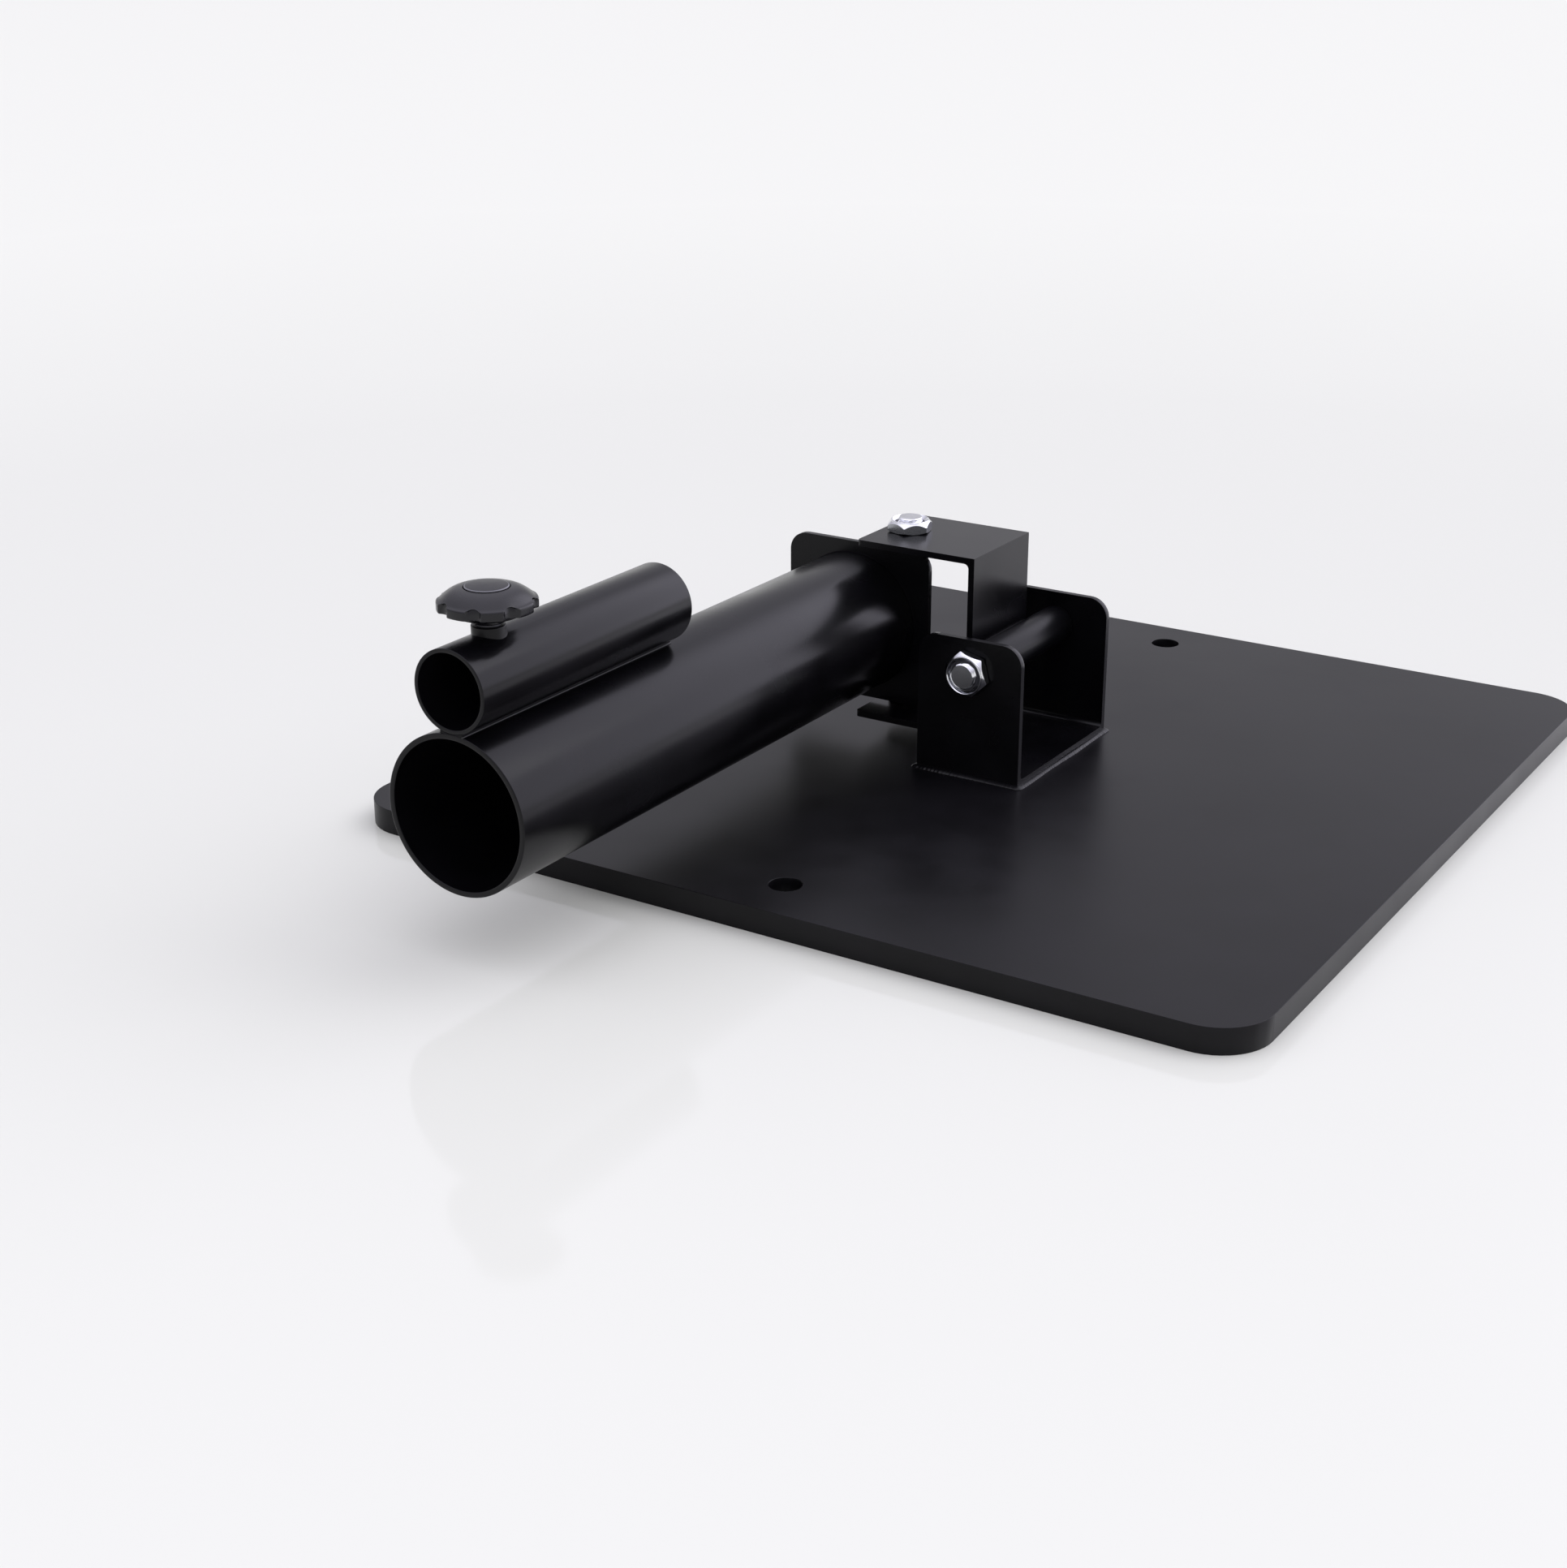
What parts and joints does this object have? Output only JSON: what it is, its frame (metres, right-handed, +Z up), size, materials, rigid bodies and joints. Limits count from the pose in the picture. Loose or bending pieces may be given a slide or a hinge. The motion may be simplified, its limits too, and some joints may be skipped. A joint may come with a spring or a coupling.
{
  "type": "barbell pivot attachment",
  "caption": "Floor plate with a tilting and swinging yoke that holds a barbell sleeve socket, with a smaller bar tube and a clamp knob on top.",
  "frame": {"origin": "middle of the base plate's underside, on the floor", "axes": "+Z up, +Y along the horizontal pivot axis and the floor bolts' line, away from the socket's mouth, -X the side the yoke opens to"},
  "size_m": [0.36, 0.434, 0.1264],
  "materials": {
    "black_paint": "semi-gloss black powder coat",
    "painted_weld": "semi-gloss black powder coat over a weld",
    "zinc_chrome": "bright plated",
    "nylon": "satin",
    "black_plastic": "fine moulded texture",
    "cap_plastic": "satin",
    "brass": "machined"
  },
  "bodies": {
    "base": {"base_plate": "black_paint", "foot_bracket": "black_paint", "foot_weld": "painted_weld", "pivot_bolt": "zinc_chrome", "pivot_washer": "zinc_chrome", "pivot_nut": "zinc_chrome", "pivot_nut_ring": "nylon"},
    "yoke": {"yoke_bracket": "black_paint", "pivot_sleeve": "black_paint", "yoke_weld": "painted_weld", "swivel_bolt": "zinc_chrome", "swivel_washer": "zinc_chrome", "swivel_nut": "zinc_chrome", "swivel_nut_ring": "nylon"},
    "socket": {"swivel_sleeve": "black_paint", "swivel_plate": "black_paint", "swivel_weld": "painted_weld", "bar_socket": "black_paint", "socket_weld": "painted_weld", "bar_tube": "black_paint", "joining_strip": "painted_weld", "clamp_boss": "black_paint"},
    "pad": {"clamp_pad": "nylon"},
    "knob": {"clamp_screw": "zinc_chrome", "knob_grip": "black_plastic", "knob_insert": "brass", "knob_cap": "cap_plastic"}
  },
  "joints": [
    {"name": "yoke_pitch", "type": "hinge", "parent": "base", "child": "yoke", "pos_m": [0.004, 0.003, 0.052], "axis": [0, 1, 0], "range_deg": [0, 120]},
    {"name": "swivel_yaw", "type": "hinge", "parent": "yoke", "child": "socket", "pos_m": [-0.0446, 0.003, 0.054], "axis": [0, 0, 1], "range_deg": [-112, 15]},
    {"name": "clamp_slide", "type": "slide", "parent": "socket", "child": "pad", "axis": [0, 0, -1], "range_m": [-0.00255, 0.0006]},
    {"name": "knob_turn", "type": "hinge", "parent": "pad", "child": "knob", "pos_m": [-0.0642, -0.233, 0.1213], "axis": [0, 0, -1], "range_deg": [-720, 170]}
  ],
  "couplings": [
    {"joint": "clamp_slide", "follows": "knob_turn", "m_per_rad": 0.00019894}
  ]
}
